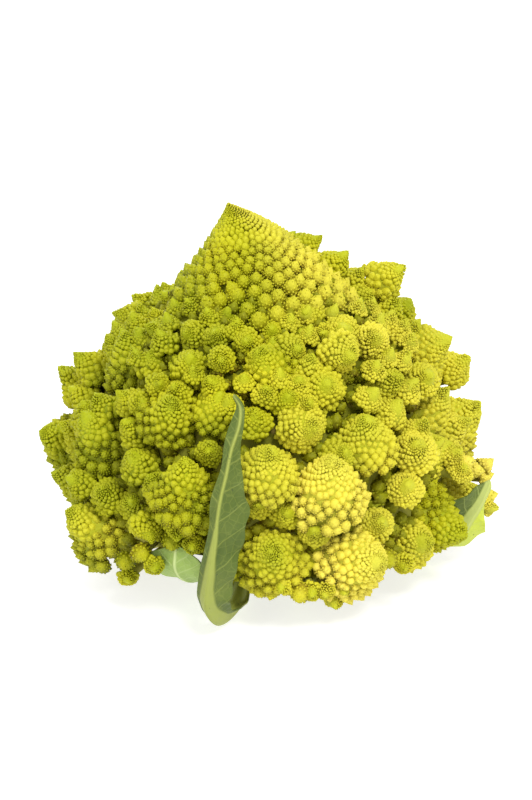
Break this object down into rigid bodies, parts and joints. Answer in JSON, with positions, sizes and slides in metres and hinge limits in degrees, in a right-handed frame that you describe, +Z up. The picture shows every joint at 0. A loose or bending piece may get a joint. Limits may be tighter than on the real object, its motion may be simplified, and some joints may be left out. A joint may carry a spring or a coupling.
{
  "type": "romanesco head",
  "caption": "Romanesco head: a pointed dome of spiralling conical florets on a short cut stalk, with a few leaves left round its base.",
  "frame": {"origin": "middle of the stalk's cut end, which the head stands on", "axes": "+Z up along the stalk to the crown, the front with its large leaf faces -Y, +X to the right as seen from the front"},
  "size_m": [0.1853, 0.1799, 0.1495],
  "materials": {
    "curd": "yellow-green plant flesh, beaded and softly matte, olive in the gaps",
    "stalk": "pale green stem, waxy, with a moist pale cut end",
    "leaf_green": "grey-green leaf with a waxy bloom and pale veins",
    "leaf_pale": "young pale green leaf, slightly translucent"
  },
  "bodies": {
    "root": {"curd": "curd", "stalk": "stalk", "leaf_front": "leaf_green", "leaf_right": "leaf_green", "leaf_left": "leaf_pale", "leaf_gap": "leaf_green"}
  },
  "joints": []
}
